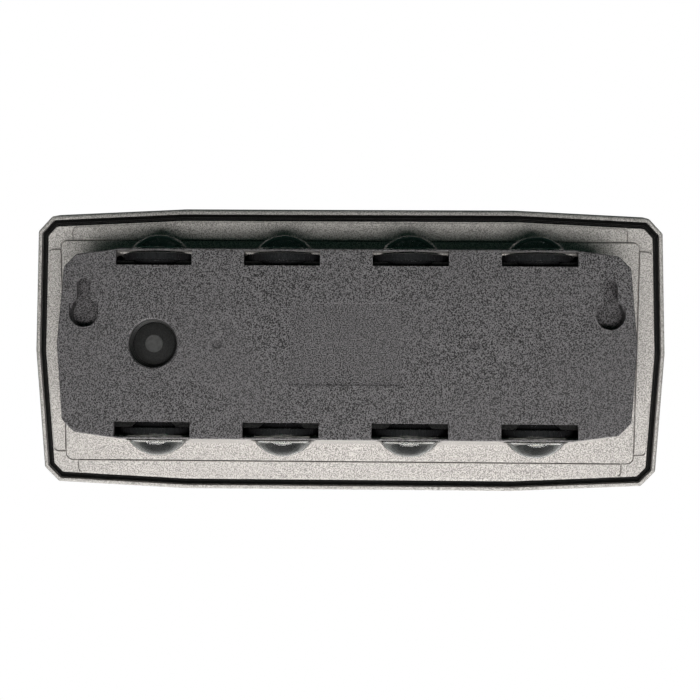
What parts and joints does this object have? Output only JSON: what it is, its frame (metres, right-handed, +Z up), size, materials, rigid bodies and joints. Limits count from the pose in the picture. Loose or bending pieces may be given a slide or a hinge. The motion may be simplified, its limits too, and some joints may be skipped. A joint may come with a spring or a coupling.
{
  "type": "solar wall light",
  "caption": "Solar up-and-down wall light: a keyhole-hung box with dome lenses on its top and bottom edges behind a tilted framed solar panel, with a push button at the back.",
  "frame": {"origin": "centre of the flat back face, which lies against the wall", "axes": "+Z up, +Y out of the back towards the wall, +X to the right seen from the front; the solar panel faces -Y and leans back by 10 degrees"},
  "size_m": [0.21, 0.0541, 0.0941],
  "materials": {
    "cover_plastic": "fine-grained charcoal moulding",
    "housing_plastic": "fine-grained warm grey moulding",
    "bezel_plastic": "fine-grained warm grey moulding",
    "gasket_rubber": "matt black rubber",
    "seal_rubber": "matt black rubber",
    "inner_plastic": "smooth dark grey moulding",
    "lens_clear": "clear polished moulding",
    "holder_plastic": "glossy black moulding",
    "led_package": "white LED package",
    "phosphor": "yellow phosphor",
    "circuit_board": "green solder resist",
    "ring_plastic": "satin charcoal moulding",
    "button_rubber": "soft black silicone",
    "plunger_plastic": "smooth dark moulding",
    "switch_plastic": "black switch body",
    "chip_plastic": "moulded black package",
    "ferrite": "dark ferrite",
    "capacitor_can": "bare can",
    "socket_plastic": "cream nylon",
    "panel_glass": "clear panel cover",
    "silicon": "dark blue solar cells",
    "backboard": "black laminate",
    "foam_tape": "foam tape",
    "cell_steel": "nickel-plated can",
    "cell_wrap": "blue shrink sleeve",
    "cradle_plastic": "black moulding",
    "red_lead": "red insulation",
    "black_lead": "black insulation",
    "white_lead": "white insulation",
    "screw_steel": "zinc-plated steel"
  },
  "bodies": {
    "light": {"battery_cell": "cell_steel", "battery_cradle": "cradle_plastic", "battery_lead_negative": "black_lead", "battery_lead_positive": "red_lead", "battery_wrap": "cell_wrap", "boost_inductor": "ferrite", "button_ring": "ring_plastic", "control_chip": "chip_plastic", "controller_board": "circuit_board", "controller_screws": "screw_steel", "cradle_screws": "screw_steel", "filter_capacitors": "capacitor_can", "front_bezel": "bezel_plastic", "lead_socket": "socket_plastic", "led_1": "led_package", "led_2": "led_package", "led_3": "led_package", "led_4": "led_package", "led_5": "led_package", "led_6": "led_package", "led_7": "led_package", "led_8": "led_package", "led_board_bottom": "circuit_board", "led_board_top": "circuit_board", "led_leads": "white_lead", "lens_1": "lens_clear", "lens_2": "lens_clear", "lens_3": "lens_clear", "lens_4": "lens_clear", "lens_5": "lens_clear", "lens_6": "lens_clear", "lens_7": "lens_clear", "lens_8": "lens_clear", "lens_holder_1": "holder_plastic", "lens_holder_2": "holder_plastic", "lens_holder_3": "holder_plastic", "lens_holder_4": "holder_plastic", "lens_holder_5": "holder_plastic", "lens_holder_6": "holder_plastic", "lens_holder_7": "holder_plastic", "lens_holder_8": "holder_plastic", "lens_seals": "seal_rubber", "main_housing": "housing_plastic", "mode_switch": "switch_plastic", "panel_lead_negative": "black_lead", "panel_lead_positive": "red_lead", "panel_tape": "foam_tape", "phosphor_discs": "phosphor", "rear_cover": "cover_plastic", "rim_gasket": "gasket_rubber", "service_plate": "inner_plastic", "service_plate_screws": "screw_steel", "solar_backboard": "backboard", "solar_cells": "silicon", "solar_glass": "panel_glass"},
    "button": {"button_cap": "button_rubber", "switch_plunger": "plunger_plastic"}
  },
  "joints": [
    {"name": "button_press", "type": "slide", "parent": "light", "child": "button", "axis": [0, -1, 0], "range_m": [0, 0.001], "stiffness_N_per_m": 800}
  ]
}
